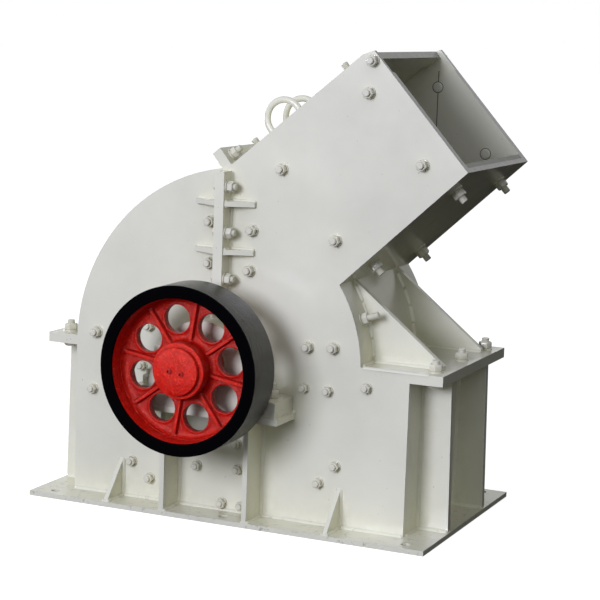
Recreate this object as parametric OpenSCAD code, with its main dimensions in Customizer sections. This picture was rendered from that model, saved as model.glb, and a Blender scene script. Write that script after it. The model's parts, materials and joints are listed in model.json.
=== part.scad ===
// Single-stage hammer crusher for rock, with welded plate housing.
// X runs towards the feed chute, -Y towards the flywheel, Z up; the origin is
// the middle of the underside of the base.

/* [Base and lower housing] */
// How far the base stands out from the side plates, along Y
base_apron = 81; // [78:1:100]
// Thickness of the base plates
base_t = 12; // [8:1:16]
// Overlap of the base plates inside the housing walls
base_lip = 20; // [8:1:30]
// Length of the base's shelf beyond each end wall
end_shelf = 80; // [70:1:95]
// Clear distance of the cover's end wall from the circle of the breast wall
end_gap = 25; // [15:1:50]
// Width of the housing over its side plates
housing_w = 448; // [440:1:460]
// Thickness of the housing plates
plate_t = 12; // [8:1:14]
// Thickness of each split flange
flange_t = 12; // [10:1:18]
// Distance of the end ribs from the middle plane
rib_y = 125; // [100:1:160]
// Thickness of the end ribs and flange gussets
rib_t = 16; // [10:1:20]
// How far an end rib's foot stays inside the end of the base
rib_foot_inset = 3; // [0:1:10]
// How far an end rib's top stays inside the end of the split flange
rib_top_inset = 10; // [4:1:20]
// Diameter of the anchor bolt holes
anchor_d = 22; // [18:1:26]
// Distance of the anchor holes from the ends of the base
anchor_end = 55; // [45:1:65]
// Distance of the anchor holes from the long edges of the base
anchor_edge = 32; // [25:1:38]

/* [Rotor] */
// Distance of the shaft from the middle of the base, towards the cover
shaft_offset = 42; // [30:1:50]
// Diameter of the shaft in the bearings
shaft_d = 90; // [80:1:96]
// Diameter of the shaft between the rotor discs
shaft_core_d = 120; // [110:1:140]
// Diameter of the shaft in the wheel hubs
shaft_end_d = 80; // [60:1:84]
// Diameter over the hammer tips
rotor_d = 600; // [560:1:640]
// Clear distance of the liners and the grate from the hammer tips
rotor_clear = 24; // [15:1:40]
// Width of a rotor disc outside its pin bores
disc_rim = 25; // [15:1:28]
// Thickness of the rotor discs
disc_t = 25; // [20:1:30]
// Number of rotor discs
disc_count = 4; // [3:1:5]
// Clear distance of the disc pack from the side plates
rotor_gap = 32; // [24:1:40]
// How far the shaft's core stands out of the disc pack
core_collar = 15; // [8:1:20]
// How far the hammer pins stand out of the disc pack
pin_end = 8; // [4:1:12]
// Number of hammer rows
hammer_rows = 4; // [3:1:4]
// Clear distance of a hammer from the discs beside it
hammer_gap = 8; // [4:1:14]
// Width of a hammer across its faces
hammer_w = 95; // [80:1:110]
// Distance of the hammer pins from the shaft
pin_radius = 185; // [175:1:190]
// Diameter of a hammer pin
pin_d = 40; // [30:1:44]
// Radial clearance of the running and sliding fits
fit = 0.05; // [0.02:0.01:0.1]

/* [Wheels] */
// Diameter of the flywheel and of the belt sheave
wheel_d = 392; // [370:1:400]
// Width of the wheel rims
rim_w = 108; // [100:1:120]
// Radial thickness of the wheel rims
rim_t = 29; // [24:1:34]
// Clear distance of the wheels from the bearing seals
wheel_gap = 13; // [8:1:25]
// Depth of the web behind the outer rim face
web_depth = 53; // [45:1:58]
// Thickness of the web
web_t = 16; // [12:1:30]
// Diameter of the wheel hubs
hub_d = 130; // [120:1:140]
// How far a hub's outer face lies behind the rim face
hub_inset = 8; // [4:1:12]
// Diameter of the holes in the web
web_hole_d = 65; // [50:1:68]
// Distance of the web holes from the shaft
web_hole_radius = 115; // [112:1:120]
// Number of web holes and web ribs
web_holes = 8; // [6:1:8]
// Width and height of a web rib
web_rib = 10; // [8:1:16]
// Angle of the first web hole above the X axis
web_hole_angle = 13.5; // [0:0.5:20]
// Number of belt grooves
grooves = 4; // [3:1:5]
// Width of a belt groove at the rim
groove_w = 17; // [14:1:19]
// Depth of a belt groove
groove_depth = 15; // [12:1:18]
// Diameter of the shaft end caps
end_cap_d = 110; // [100:1:120]
// Thickness of the shaft end caps
end_cap_t = 12; // [8:1:16]

/* [Bearings and aprons] */
// Height of the shaft above the bearing seats
bearing_h = 112; // [108:1:118]
// Length of a bearing housing
bearing_l = 380; // [360:1:390]
// Width of a bearing housing
bearing_w = 98; // [80:1:100]
// Diameter of the bearing drum
drum_d = 200; // [190:1:210]
// Clearance between a bearing housing and the side plate
bearing_gap = 4; // [2:1:8]
// Height of the foot of a bearing housing
bearing_foot = 38; // [30:1:45]
// Height of the cap's lugs above the shaft
lug_h = 30; // [24:1:36]
// Thickness of a bearing's seal ring
seal_t = 6; // [4:1:8]
// Radius of a bearing's seal ring
seal_r = 62; // [56:1:70]
// Length of a bearing seat
seat_l = 394; // [390:1:400]
// Thickness of a bearing seat
seat_t = 14; // [10:1:18]
// How far a bearing seat stands out from the side plate
seat_w = 104; // [102:1:110]
// How far the apron ribs stand out from the side plate
apron_w = 80; // [60:1:81]
// Thickness of the apron ribs
apron_t = 12; // [8:1:16]
// Distance of the seat ribs from the shaft
seat_rib_x = 109; // [80:1:140]
// Distance of the cover's corner gussets from the middle of the base
gusset_left_x = 303.5; // [290:0.5:320]
// Distance of the chute's corner gussets from the middle of the base
gusset_right_x = 272; // [260:1:300]
// Thickness of the corner gussets
corner_gusset_t = 10; // [8:1:14]
// Height of the corner gussets
corner_gusset_h = 94; // [70:1:120]

/* [Cover and chute] */
// Distance of the cover's centre from the shaft, towards the chute
cover_offset = 58; // [50:1:66]
// Distance of the cover's split from the shaft, towards the chute
split_offset = 4; // [0:1:8]
// Distance of the mouth's lower edge from the middle of the base
mouth_x = 550; // [540:1:565]
// Height of the mouth's lower edge above the shaft
mouth_rise = 474; // [460:1:490]
// Height of the mouth between the edges of the side plates
mouth_h = 348; // [340:1:360]
// Angle of the mouth plane above the X axis
mouth_tilt = 132; // [130:1:134]
// Slope of the chute floor
floor_slope = 43; // [42:0.5:44]
// Slope of the chute roof
roof_slope = 40; // [39:0.5:42]
// How far the side plate's top edge stops short of the mouth's upper corner
roof_nose = 27.6; // [20:0.1:36]
// How far the roof runs on past the side plate's top edge
roof_overrun = 16; // [8:1:24]
// How far the roof lies below the edges of the side plates
roof_drop = 6; // [3:1:12]
// How far the side split flanges stand out from the plates
split_flange_h = 43; // [40:1:52]
// How far the top split flanges stand over the edges of the side plates
top_flange_h = 49; // [44:1:54]
// Distance of the side split flanges below the foot of the roof
split_flange_drop = 6; // [3:1:12]
// Height of the side split flanges above the shaft, at their foot
split_flange_foot = 122; // [118:1:150]
// Clear distance of the flange ribs below the cover's top
flange_rib_drops = [87, 200];
// Length of the flange ribs
flange_rib_l = 64; // [50:1:90]
// Thickness of the flange ribs
flange_rib_t = 12; // [8:1:14]
// Width of the flange ribs at their thin ends
flange_rib_toe = 10; // [6:1:14]
// How far the flange ribs stay inside the flange's edge
flange_rib_inset = 4; // [2:1:8]
// Width of the closing bar at the top of the mouth
mouth_bar_w = 40; // [30:1:60]
// Thickness of the closing bar at the top of the mouth
mouth_bar_t = 18; // [14:1:24]
// Distance of the flange gussets from the middle plane
gusset_y = 135; // [100:1:160]
// Distance of the flange gusset's toe from the end of the flange
gusset_toe = 29; // [20:1:60]
// Height of the flange gusset's cut toe
gusset_nose = 8; // [4:1:14]
// Slope of the flange gussets
gusset_slope = 38.5; // [36:0.5:45]

/* [Liners and grate] */
// Thickness of the floor and side liners
liner_t = 12; // [8:1:14]
// Distance of the side liner's top edge below the roof
liner_drop = 45; // [30:1:70]
// Thickness of the breast liner
breast_liner_t = 20; // [14:1:24]
// Thickness of the discharge grate
grate_t = 24; // [18:1:28]
// Clear height between the base and the discharge grate
grate_foot = 24; // [15:1:50]
// Width of a grate slot
grate_slot_w = 28; // [20:1:34]
// Angle between the grate slots
grate_pitch = 10; // [9:1:12]
// Distance of the grate slots from the side plates
grate_edge = 22; // [16:1:30]
// Width of the grate's middle bar
grate_bar = 16; // [12:1:24]

/* [Lifting rings] */
// Diameter of the ring bar
ring_bar_d = 16; // [12:1:18]
// Outside diameter of a lifting ring
ring_d = 105; // [90:1:115]
// Distance of the lifting rings from the middle plane
ring_y = 53; // [40:1:90]
// Distance of the lifting rings up the roof from its foot
ring_u = 120; // [100:1:300]
// Depth of the flat on which a lifting ring sits
ring_flat = 1; // [0.5:0.5:3]

/* [Hidden] */
$fn = 64;
grate_in = rotor_d / 2 + rotor_clear;
breast_r = grate_in + breast_liner_t + plate_t;
half_h = shaft_offset + breast_r + end_gap + plate_t;
half_l = half_h + end_shelf;
side_y = housing_w / 2;
half_w = side_y + base_apron;
inner_y = side_y - plate_t;
shaft_x = -shaft_offset;
shaft_z = base_t + grate_foot + grate_t + grate_in;
split_x = shaft_x + split_offset;
lower_top = shaft_z - flange_t;
upper_foot = shaft_z + flange_t;
shaft_hole_gap = 6;
shaft_hole_r = shaft_d / 2 + shaft_hole_gap;

// Cover: an arc that ends flush with the lower end wall
cover_x = shaft_x + cover_offset;
cover_r = cover_x + half_h;
roof_rise = sqrt(cover_r * cover_r - (cover_x - split_x) * (cover_x - split_x));

// Directions of the floor, the roof and the mouth in the XZ plane
floor_dir = [cos(floor_slope), sin(floor_slope)];
floor_up = [-sin(floor_slope), cos(floor_slope)];
roof_dir = [cos(roof_slope), sin(roof_slope)];
roof_up = [-sin(roof_slope), cos(roof_slope)];
mouth_dir = [cos(mouth_tilt), sin(mouth_tilt)];

// Corners of the chute in the XZ plane
shaft_pt = [shaft_x, shaft_z];
split_pt = [split_x, shaft_z];
mouth_low = [mouth_x, shaft_z + mouth_rise];
mouth_high = mouth_low + mouth_h * mouth_dir;
roof_foot = [split_x, shaft_z + roof_rise];
roof_edge_l = (mouth_high - roof_foot) * roof_dir - roof_nose;
roof_end = roof_foot + roof_edge_l * roof_dir;
mouth_rel = mouth_low - shaft_pt;
mouth_reach = mouth_rel * floor_dir;
floor_l = mouth_reach - sqrt(mouth_reach * mouth_reach - mouth_rel * mouth_rel + breast_r * breast_r);
knee = mouth_low - floor_l * floor_dir;
knee_angle = atan2(knee[1] - shaft_z, knee[0] - shaft_x);
breast_foot_angle = asin(flange_t / breast_r);
breast_top_angle = knee_angle + 4;
floor_stack = plate_t + liner_t;
flange_foot_x = shaft_x + (breast_r - plate_t) * cos(breast_foot_angle);

wheel_r = wheel_d / 2;
wheel_back = side_y + bearing_gap + bearing_w + seal_t + wheel_gap;
wheel_y = wheel_back + rim_w;
rim_in_r = wheel_r - rim_t;
web_front = wheel_y - web_depth;
web_back = web_front - web_t;
hub_r = hub_d / 2;
hub_front = wheel_y - hub_inset;
draft = 4;
seat_top = shaft_z - bearing_h;
disc_pack_l = 2 * (inner_y - rotor_gap);
disc_pitch = (disc_pack_l - disc_t) / (disc_count - 1);
hammer_t = disc_pitch - disc_t - 2 * hammer_gap;
disc_r = pin_radius + pin_d / 2 + disc_rim;

// An outline in the XZ plane as a plate from y to y + t
module plate_xz(y, t) {
    translate([0, y + t, 0])
        rotate([90, 0, 0])
            linear_extrude(t)
                children();
}

// The children drawn in the frame of the shaft axis, along +Y
module about_shaft() {
    translate([shaft_x, 0, shaft_z])
        children();
}

module mirror_back() {
    mirror([0, 1, 0])
        children();
}

// A straight plate band: from is its start, dir its run, up its normal
module band(from, slope, run_a, run_b, up_a, up_b) {
    translate(from)
        rotate(slope)
            translate([run_a, up_a])
                square([run_b - run_a, up_b - up_a]);
}

// Part of a ring about a centre, between two angles of less than 180 degrees
module ring_sector(centre, r_in, r_out, angle_a, angle_b) {
    far = 3 * r_out;
    mid = (angle_a + angle_b) / 2;
    translate(centre)
        intersection() {
            difference() {
                circle(r_out, $fn = 180);
                circle(r_in, $fn = 180);
            }
            polygon([
                [0, 0],
                far * [cos(angle_a), sin(angle_a)],
                far * [cos(mid), sin(mid)],
                far * [cos(angle_b), sin(angle_b)]
            ]);
        }
}

module shaft_opening() {
    about_shaft()
        rotate([90, 0, 0])
            cylinder(r = shaft_hole_r, h = 2 * half_w, center = true);
}

// Slot that the pair of tilted top flanges takes out of the plates
module top_flange_slot() {
    band(roof_foot, roof_slope, -flange_t, flange_t, -roof_drop - plate_t, 3 * top_flange_h);
}

module anchor_hole(x, y) {
    translate([x, y, -1])
        cylinder(d = anchor_d, h = base_t + 2);
}

module base_long_plate() {
    inner_edge = inner_y - base_lip;
    color("gainsboro")
        difference() {
            translate([-half_l, -half_w, 0])
                cube([2 * half_l, half_w - inner_edge, base_t]);
            for (x = [-half_l + anchor_end, 0, half_l - anchor_end])
                anchor_hole(x, -half_w + anchor_edge);
        }
}

module base_end_plate(side) {
    inner_edge = half_h - plate_t - base_lip;
    depth = half_l - inner_edge;
    length = 2 * (inner_y - base_lip);
    color("gainsboro")
        translate([side > 0 ? inner_edge : -half_l, -length / 2, 0])
            cube([depth, length, base_t]);
}

module lower_side() {
    color("whitesmoke")
        difference() {
            union() {
                translate([-half_h, -side_y, base_t])
                    cube([2 * half_h, plate_t, lower_top - base_t]);
                translate([-half_h + plate_t, -side_y, lower_top])
                    cube([flange_foot_x + half_h - plate_t, plate_t, flange_t]);
            }
            shaft_opening();
        }
}

module lower_end(side) {
    color("whitesmoke")
        translate([side > 0 ? half_h - plate_t : -half_h, -inner_y, base_t])
            cube([plate_t, 2 * inner_y, lower_top - base_t]);
}

// Upright ribs on an end wall, a little narrower at the top
module end_ribs(side) {
    color("whitesmoke")
        for (y = [-rib_y, rib_y])
            plate_xz(y - rib_t / 2, rib_t)
                polygon([
                    [side * half_h, base_t],
                    [side * (half_l - rib_foot_inset), base_t],
                    [side * (half_l - rib_top_inset), lower_top],
                    [side * half_h, lower_top]
                ]);
}

module lower_flange(side) {
    inner_edge = side > 0 ? flange_foot_x : half_h - plate_t;
    color("whitesmoke")
        translate([side > 0 ? inner_edge : -half_l, -side_y, lower_top])
            cube([half_l - inner_edge, housing_w, flange_t]);
}

module upper_flange(side) {
    inner_edge = side > 0 ? flange_foot_x : half_h - plate_t;
    color("whitesmoke")
        translate([side > 0 ? inner_edge : -half_l, -side_y, shaft_z])
            cube([half_l - inner_edge, housing_w, flange_t]);
}

// Upright rib under a bearing seat
module seat_rib(x) {
    translate([x - apron_t / 2, -side_y - apron_w, base_t])
        cube([apron_t, apron_w, seat_top - seat_t - base_t]);
}

module corner_gusset(x) {
    translate([x + corner_gusset_t / 2, -side_y, base_t])
        rotate([0, -90, 0])
            linear_extrude(corner_gusset_t)
                polygon([[0, 0], [corner_gusset_h, 0], [0, -apron_w]]);
}

module apron_ribs() {
    color("whitesmoke") {
        corner_gusset(-gusset_left_x);
        seat_rib(shaft_x - seat_rib_x);
        seat_rib(shaft_x + seat_rib_x);
        corner_gusset(gusset_right_x);
    }
}

module bearing_seat() {
    color("whitesmoke")
        translate([shaft_x - seat_l / 2, -side_y - seat_w, seat_top - seat_t])
            cube([seat_l, seat_w, seat_t]);
}

// Split pillow block: foot, drum, cap lugs and the two seal rings
module bearing_housing() {
    lug_l = 1.22 * drum_d;
    foot_rise = 6;
    groove = 2;
    bearing_y = -side_y - bearing_gap - bearing_w;
    color("lightgray")
        difference() {
            union() {
                plate_xz(bearing_y, bearing_w)
                    translate([shaft_x, seat_top])
                        polygon([
                            [-bearing_l / 2, 0],
                            [bearing_l / 2, 0],
                            [bearing_l / 2, bearing_foot],
                            [0.7 * drum_d, bearing_foot + foot_rise],
                            [lug_l / 2, bearing_h + lug_h],
                            [-lug_l / 2, bearing_h + lug_h],
                            [-0.7 * drum_d, bearing_foot + foot_rise],
                            [-bearing_l / 2, bearing_foot]
                        ]);
                translate([shaft_x, bearing_y + bearing_w, shaft_z])
                    rotate([90, 0, 0])
                        cylinder(d = drum_d, h = bearing_w, $fn = 96);
                translate([shaft_x, bearing_y, shaft_z])
                    rotate([90, 0, 0])
                        cylinder(r = seal_r, h = seal_t);
            }
            about_shaft()
                rotate([90, 0, 0])
                    cylinder(r = shaft_d / 2 + fit, h = 2 * wheel_y, center = true);
            for (side = [-1, 1])
                translate([shaft_x + side * lug_l / 2, bearing_y + bearing_w / 2, shaft_z])
                    cube([2 * groove, 2 * bearing_w, groove], center = true);
        }
}

// Side plate of the rear cover, left of the vertical split
module cover_side() {
    color("whitesmoke")
        difference() {
            plate_xz(-side_y, plate_t)
                difference() {
                    intersection() {
                        translate([cover_x, shaft_z])
                            circle(cover_r, $fn = 180);
                        translate([-2 * half_h, shaft_z])
                            square([2 * half_h + split_x, 2 * cover_r]);
                    }
                    translate([-2 * half_h, shaft_z])
                        square([half_h + plate_t, flange_t]);
                    top_flange_slot();
                }
            shaft_opening();
        }
}

module cover_shell() {
    color("whitesmoke")
        plate_xz(-inner_y, 2 * inner_y)
            difference() {
                intersection() {
                    translate([cover_x, shaft_z])
                        difference() {
                            circle(cover_r, $fn = 180);
                            circle(cover_r - plate_t, $fn = 180);
                        }
                    translate([-2 * half_h, upper_foot])
                        square([2 * half_h + split_x, 2 * cover_r]);
                }
                top_flange_slot();
            }
}

// Outline of the chute's side plate: the rotor chamber and the chute
module chute_outline() {
    difference() {
        union() {
            intersection() {
                translate(shaft_pt)
                    circle(breast_r, $fn = 180);
                translate(split_pt)
                    square(2 * breast_r);
            }
            polygon([split_pt, knee - plate_t * floor_dir, mouth_low, mouth_high, roof_end, roof_foot]);
        }
        translate([flange_foot_x, shaft_z])
            square([breast_r, flange_t]);
        top_flange_slot();
    }
}

module chute_side() {
    color("whitesmoke")
        difference() {
            plate_xz(-side_y, plate_t)
                chute_outline();
            shaft_opening();
        }
}

// Tapering horizontal rib that props a side split flange; side is its direction
module flange_rib(side, drop) {
    foot_x = split_x + side * flange_t;
    translate([foot_x, -side_y, shaft_z + roof_rise - drop])
        linear_extrude(flange_rib_t)
            polygon([
                [0, 0],
                [side * flange_rib_l, 0],
                [side * flange_rib_l, -flange_rib_toe],
                [0, -split_flange_h + flange_rib_inset]
            ]);
}

// Side split flange with its ribs: side -1 is the cover's, 1 the chute's
module side_flange(side) {
    foot = shaft_z + split_flange_foot;
    top = shaft_z + roof_rise - split_flange_drop;
    color("whitesmoke")
        union() {
            translate([side > 0 ? split_x : split_x - flange_t, -side_y - split_flange_h, foot])
                cube([flange_t, split_flange_h, top - foot]);
            for (drop = flange_rib_drops)
                flange_rib(side, drop);
        }
}

// Top split flange, square to the roof
module top_flange(side) {
    color("whitesmoke")
        plate_xz(-side_y, housing_w)
            band(roof_foot, roof_slope, side > 0 ? 0 : -flange_t, side > 0 ? flange_t : 0,
                -roof_drop - plate_t, top_flange_h);
}

module chute_roof() {
    run_end = roof_edge_l + roof_overrun;
    color("whitesmoke")
        plate_xz(-inner_y, 2 * inner_y)
            union() {
                band(roof_foot, roof_slope, flange_t, run_end, -roof_drop - plate_t, -roof_drop);
                band(roof_foot, roof_slope, run_end - mouth_bar_w, run_end,
                    -roof_drop - mouth_bar_t, -roof_drop);
            }
}

// A layer along the chute floor that seats on the breast wall
module floor_layer(up_a, up_b) {
    difference() {
        band(knee, floor_slope, -plate_t, floor_l, up_a, up_b);
        translate(shaft_pt)
            circle(breast_r, $fn = 180);
    }
}

module chute_floor() {
    color("whitesmoke")
        plate_xz(-inner_y, 2 * inner_y)
            floor_layer(0, plate_t);
}

module floor_liner() {
    color("darkgray")
        plate_xz(-inner_y + liner_t, 2 * (inner_y - liner_t))
            floor_layer(plate_t, floor_stack);
}

module breast_wall() {
    color("whitesmoke")
        plate_xz(-inner_y, 2 * inner_y)
            difference() {
                ring_sector(shaft_pt, breast_r - plate_t, breast_r, 0, breast_top_angle);
                translate(shaft_pt)
                    square([breast_r, flange_t]);
            }
}

module breast_liner() {
    color("darkgray")
        plate_xz(-inner_y, 2 * inner_y)
            ring_sector(shaft_pt, grate_in, breast_r - plate_t, breast_foot_angle + 1, breast_top_angle);
}

module flange_gussets() {
    toe_x = half_l - gusset_toe;
    run = toe_x - shaft_x - breast_r / 2;
    color("whitesmoke")
        for (y = [-gusset_y, gusset_y])
            plate_xz(y - rib_t / 2, rib_t)
                difference() {
                    intersection() {
                        polygon([
                            [toe_x - run, upper_foot],
                            [toe_x, upper_foot],
                            [toe_x, upper_foot + gusset_nose],
                            [toe_x - run, upper_foot + gusset_nose + run * tan(gusset_slope)]
                        ]);
                        band(knee, floor_slope, -floor_l, floor_l, -2 * breast_r, 0);
                    }
                    translate(shaft_pt)
                        circle(breast_r, $fn = 180);
                }
}

module lifting_rings() {
    bar_r = ring_bar_d / 2;
    lift = ring_d / 2 - ring_flat - roof_drop;
    centre = roof_foot + ring_u * roof_dir + lift * roof_up;
    color("whitesmoke")
        for (y = [-ring_y, ring_y])
            difference() {
                translate([centre[0], y, centre[1]])
                    rotate([90, 0, 0])
                        rotate_extrude($fn = 72)
                            translate([ring_d / 2 - bar_r, 0])
                                circle(bar_r, $fn = 24);
                plate_xz(y - ring_bar_d, 2 * ring_bar_d)
                    band(roof_foot, roof_slope, 0, roof_edge_l, -2 * ring_bar_d, -roof_drop);
            }
}

module chute_side_liners() {
    roof_in = roof_foot + flange_t * roof_dir - (roof_drop + plate_t + liner_drop) * roof_up;
    floor_in = knee + floor_stack * floor_up;
    floor_out = mouth_low + plate_t * floor_up;
    color("darkgray")
        for (side = [-1, 1])
            plate_xz(side > 0 ? inner_y - liner_t : -inner_y, liner_t)
                difference() {
                    polygon([
                        knee + plate_t * floor_up,
                        floor_out,
                        mouth_high - (liner_drop + mouth_bar_t) * mouth_dir,
                        roof_in + (roof_edge_l - flange_t) * roof_dir,
                        roof_in,
                        floor_in
                    ]);
                    translate(shaft_pt)
                        circle(breast_r, $fn = 180);
                }
}

// Curved grate under the rotor, hung between the side plates
module discharge_grate() {
    start = 205;
    finish = 335;
    slot_l = inner_y - grate_edge - grate_bar / 2;
    color("dimgray")
        difference() {
            plate_xz(-inner_y, 2 * inner_y)
                ring_sector(shaft_pt, grate_in, grate_in + grate_t, start, finish);
            about_shaft()
                for (a = [start + grate_pitch : grate_pitch : finish - grate_pitch / 2])
                    for (side = [-1, 1])
                        rotate([0, -a, 0])
                            translate([grate_in + grate_t / 2, side * (slot_l + grate_bar) / 2, 0])
                                cube([2 * grate_t, slot_l, grate_slot_w], center = true);
        }
}

module rotor_shaft() {
    color("silver")
        about_shaft()
            rotate([90, 0, 0])
                union() {
                    cylinder(d = shaft_end_d, h = 2 * hub_front, center = true);
                    cylinder(d = shaft_d, h = 2 * wheel_back, center = true);
                    cylinder(d = shaft_core_d, h = disc_pack_l + 2 * core_collar, center = true);
                }
}

// Bores in the disc pack for the pins
module pin_bores(r, h) {
    for (k = [0 : hammer_rows - 1])
        rotate(k * 360 / hammer_rows + 45)
            translate([pin_radius, 0, 0])
                cylinder(r = r, h = h, center = true);
}

module rotor_discs() {
    color("slategray")
        about_shaft()
            rotate([90, 0, 0])
                for (k = [0 : disc_count - 1])
                    difference() {
                        translate([0, 0, -disc_pack_l / 2 + k * disc_pitch])
                            cylinder(r = disc_r, h = disc_t, $fn = 96);
                        cylinder(r = shaft_core_d / 2 + fit, h = 2 * disc_pack_l, center = true);
                        pin_bores(pin_d / 2 + fit, 2 * disc_pack_l);
                    }
}

module hammer_pins() {
    color("silver")
        about_shaft()
            rotate([90, 0, 0])
                pin_bores(pin_d / 2, disc_pack_l + 2 * pin_end);
}

module hammers() {
    root = pin_radius - hammer_w / 2;
    color("gray")
        about_shaft()
            rotate([90, 0, 0])
                for (row = [0 : hammer_rows - 1])
                    for (k = [0 : disc_count - 2])
                        rotate(row * 360 / hammer_rows + 45)
                            translate([0, 0, -disc_pack_l / 2 + disc_t / 2 + (k + 0.5) * disc_pitch])
                                difference() {
                                    translate([root, -hammer_w / 2, -hammer_t / 2])
                                        cube([rotor_d / 2 - root, hammer_w, hammer_t]);
                                    translate([pin_radius, 0, 0])
                                        cylinder(r = pin_d / 2 + fit, h = 2 * hammer_t, center = true);
                                }
}

// Web with its hub, ribs and holes; the wheel's axis is Z and z is the distance out
module wheel_web() {
    for (k = [0 : web_holes - 1])
        rotate(web_hole_angle + (k + 0.5) * 360 / web_holes)
            translate([hub_r - draft, -web_rib / 2, web_front - 1])
                cube([rim_in_r - hub_r, web_rib, web_rib + 1]);
}

module web_bores() {
    for (k = [0 : web_holes - 1])
        rotate(web_hole_angle + k * 360 / web_holes)
            translate([web_hole_radius, 0, web_back - 1])
                cylinder(d = web_hole_d, h = web_t + 2);
}

// Half profile of a wheel from its bore to its rim, with the rim's outer points
function wheel_profile(outer) = concat(
    [
        [shaft_end_d / 2 + fit, wheel_back + fit],
        [hub_r + draft, wheel_back + fit],
        [hub_r, web_back],
        [rim_in_r - draft, web_back],
        [rim_in_r, wheel_back]
    ],
    outer,
    [
        [rim_in_r, wheel_y],
        [rim_in_r - draft, web_front],
        [hub_r + draft, web_front],
        [hub_r, hub_front],
        [shaft_end_d / 2 + fit, hub_front]
    ]
);

module wheel(outer) {
    difference() {
        union() {
            rotate_extrude($fn = 96)
                polygon(wheel_profile(outer));
            wheel_web();
        }
        web_bores();
    }
}

module flywheel() {
    color("crimson")
        about_shaft()
            rotate([90, 0, 0])
                wheel([[wheel_r, wheel_back], [wheel_r, wheel_y]]);
}

// Points of one belt groove, centred at distance z out
function groove_points(z) = [
    [wheel_r, z - groove_w / 2],
    [wheel_r - groove_depth, z - groove_w / 4],
    [wheel_r - groove_depth, z + groove_w / 4],
    [wheel_r, z + groove_w / 2]
];

module belt_sheave() {
    pitch = rim_w / grooves;
    grooved = [for (k = [0 : grooves - 1]) each groove_points(wheel_back + (k + 0.5) * pitch)];
    color("crimson")
        about_shaft()
            rotate([-90, 0, 0])
                wheel(concat([[wheel_r, wheel_back]], grooved, [[wheel_r, wheel_y]]));
}

module hub_end_caps() {
    color("crimson")
        about_shaft()
            rotate([90, 0, 0])
                for (side = [-1, 1])
                    translate([0, 0, side * (hub_front + end_cap_t / 2)])
                        cylinder(d = end_cap_d, h = end_cap_t, center = true);
}

base_long_plate();  // base_front
mirror_back() base_long_plate();  // base_back
base_end_plate(-1);  // base_left
base_end_plate(1);  // base_right
lower_side();  // lower_side_front
mirror_back() lower_side();  // lower_side_back
lower_end(-1);  // lower_end_left
lower_end(1);  // lower_end_right
end_ribs(-1);  // end_ribs_left
end_ribs(1);  // end_ribs_right
lower_flange(-1);  // lower_flange_left
lower_flange(1);  // lower_flange_right
apron_ribs();  // apron_ribs_front
mirror_back() apron_ribs();  // apron_ribs_back
bearing_seat();  // bearing_seat_front
mirror_back() bearing_seat();  // bearing_seat_back
bearing_housing();  // bearing_housing_front
mirror_back() bearing_housing();  // bearing_housing_back
upper_flange(-1);  // upper_flange_left
upper_flange(1);  // upper_flange_right
cover_side();  // cover_side_front
mirror_back() cover_side();  // cover_side_back
cover_shell();
side_flange(-1);  // cover_flange_front
mirror_back() side_flange(-1);  // cover_flange_back
top_flange(-1);  // cover_flange_top
chute_side();  // chute_side_front
mirror_back() chute_side();  // chute_side_back
side_flange(1);  // chute_flange_front
mirror_back() side_flange(1);  // chute_flange_back
top_flange(1);  // chute_flange_top
chute_roof();
chute_floor();
breast_wall();
flange_gussets();
lifting_rings();
chute_side_liners();
floor_liner();
breast_liner();
discharge_grate();
rotor_shaft();
rotor_discs();
hammer_pins();
hammers();
flywheel();
belt_sheave();
hub_end_caps();
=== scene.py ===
"""Finish of a hammer crusher: enamelled plate housing, cast wheels, welds and bolts."""

import json
import math

import bpy
import numpy as np
from mathutils import Matrix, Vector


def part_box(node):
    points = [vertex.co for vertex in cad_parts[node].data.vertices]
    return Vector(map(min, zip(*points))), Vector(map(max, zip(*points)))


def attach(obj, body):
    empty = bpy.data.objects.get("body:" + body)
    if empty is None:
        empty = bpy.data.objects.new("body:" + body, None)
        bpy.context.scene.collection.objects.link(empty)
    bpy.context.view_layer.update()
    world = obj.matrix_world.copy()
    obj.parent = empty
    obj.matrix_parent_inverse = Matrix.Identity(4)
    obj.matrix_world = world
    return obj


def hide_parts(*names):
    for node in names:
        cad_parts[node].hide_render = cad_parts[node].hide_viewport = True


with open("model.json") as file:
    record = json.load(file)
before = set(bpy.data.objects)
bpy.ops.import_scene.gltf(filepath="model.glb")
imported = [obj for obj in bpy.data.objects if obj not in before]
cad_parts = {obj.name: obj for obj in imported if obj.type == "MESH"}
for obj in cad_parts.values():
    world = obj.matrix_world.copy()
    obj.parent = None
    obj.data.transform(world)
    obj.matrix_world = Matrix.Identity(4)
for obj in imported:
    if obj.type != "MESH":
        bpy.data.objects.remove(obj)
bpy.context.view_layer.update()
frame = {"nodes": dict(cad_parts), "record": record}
rng = np.random.default_rng(7)

# Lengths below are in millimetres and become metres in new_piece
MM = 0.001


def low(node):
    """Lowest corner of a node's box in millimetres."""
    return np.array(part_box(node)[0]) / MM


def high(node):
    """Highest corner of a node's box in millimetres."""
    return np.array(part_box(node)[1]) / MM


# Levels and faces read from the frame, in millimetres
SIDE_Y = -low("chute_side_front")[1]
INNER_Y = -high("chute_side_front")[1]
HALF_H = high("lower_side_front")[0]
HALF_L = high("upper_flange_right")[0]
BASE_T = high("base_front")[2]
SPLIT_Z = low("upper_flange_right")[2]
LOWER_TOP = low("lower_flange_right")[2]
UPPER_FOOT = high("upper_flange_right")[2]
SPLIT_X = high("cover_side_front")[0]
SHAFT = np.array([(low("flywheel")[0] + high("flywheel")[0]) / 2, 0.0, SPLIT_Z])
FLANGE_T = UPPER_FOOT - SPLIT_Z
SEAT_TOP = high("bearing_seat_front")[2]
WHEEL_Y = high("belt_sheave")[1]
WHEEL_BACK = low("belt_sheave")[1]
WHEEL_R = (high("flywheel")[0] - low("flywheel")[0]) / 2

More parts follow.
